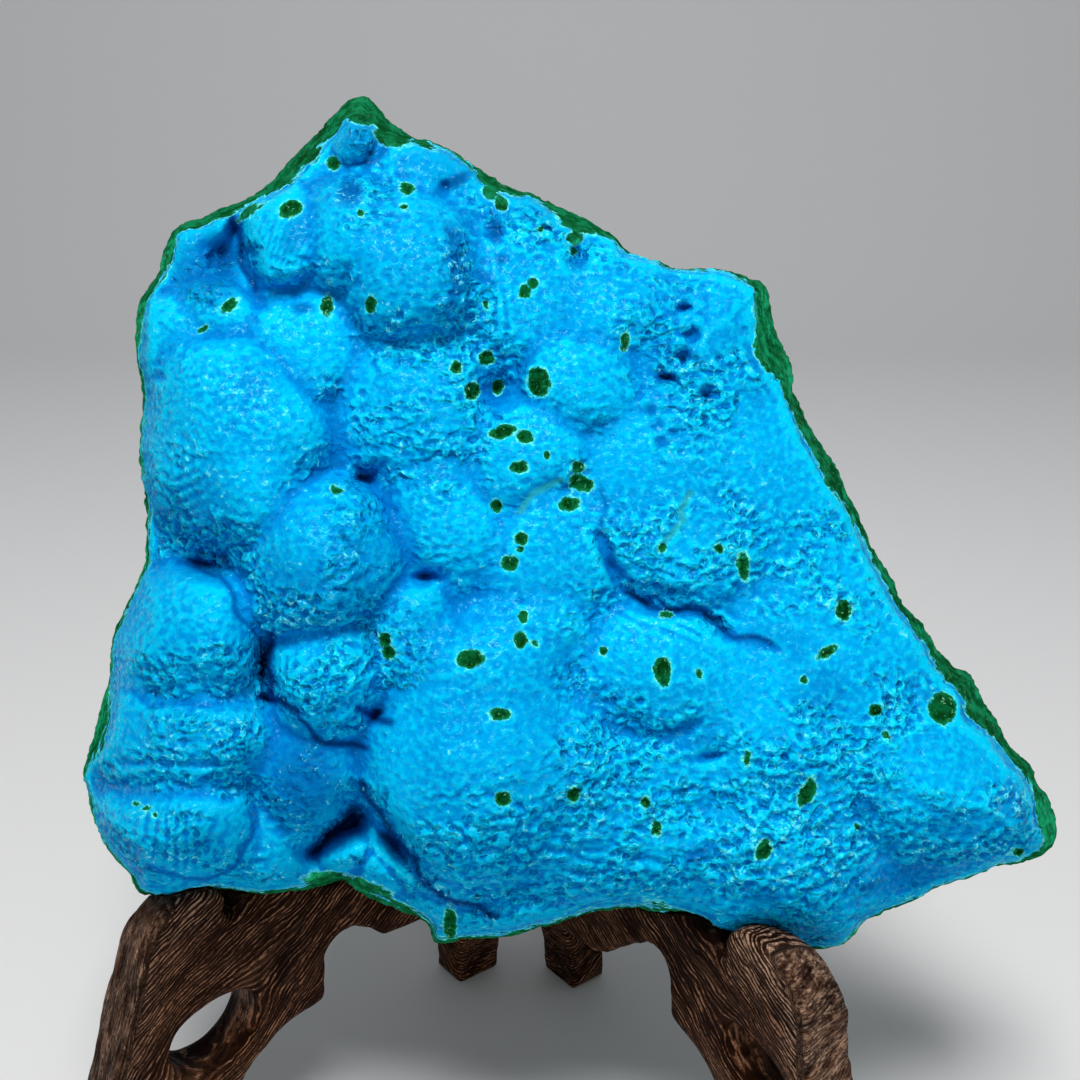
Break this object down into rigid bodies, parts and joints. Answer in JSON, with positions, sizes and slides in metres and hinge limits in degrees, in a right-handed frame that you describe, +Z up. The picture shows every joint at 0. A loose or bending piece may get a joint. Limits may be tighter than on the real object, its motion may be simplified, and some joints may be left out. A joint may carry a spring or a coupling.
{
  "type": "chrysocolla specimen on stand",
  "caption": "Blue botryoidal crust over green malachite, a slab-like mineral specimen leaning on a dark carved stand of crossed boards.",
  "frame": {"origin": "on the surface that the stand's feet stand on, under the middle of the bounding box", "axes": "+Z up; +X to the viewer's right; the stone's front faces -Y and leans back towards +Y"},
  "size_m": [0.1835, 0.1028, 0.199],
  "materials": {
    "stone": "waxy blue chrysocolla crust on green malachite",
    "wood": "dark brown, open ribbed grain, worn grey edges"
  },
  "bodies": {
    "root": {"specimen": "stone", "stand_left_board": "wood", "stand_right_board": "wood"}
  },
  "joints": []
}
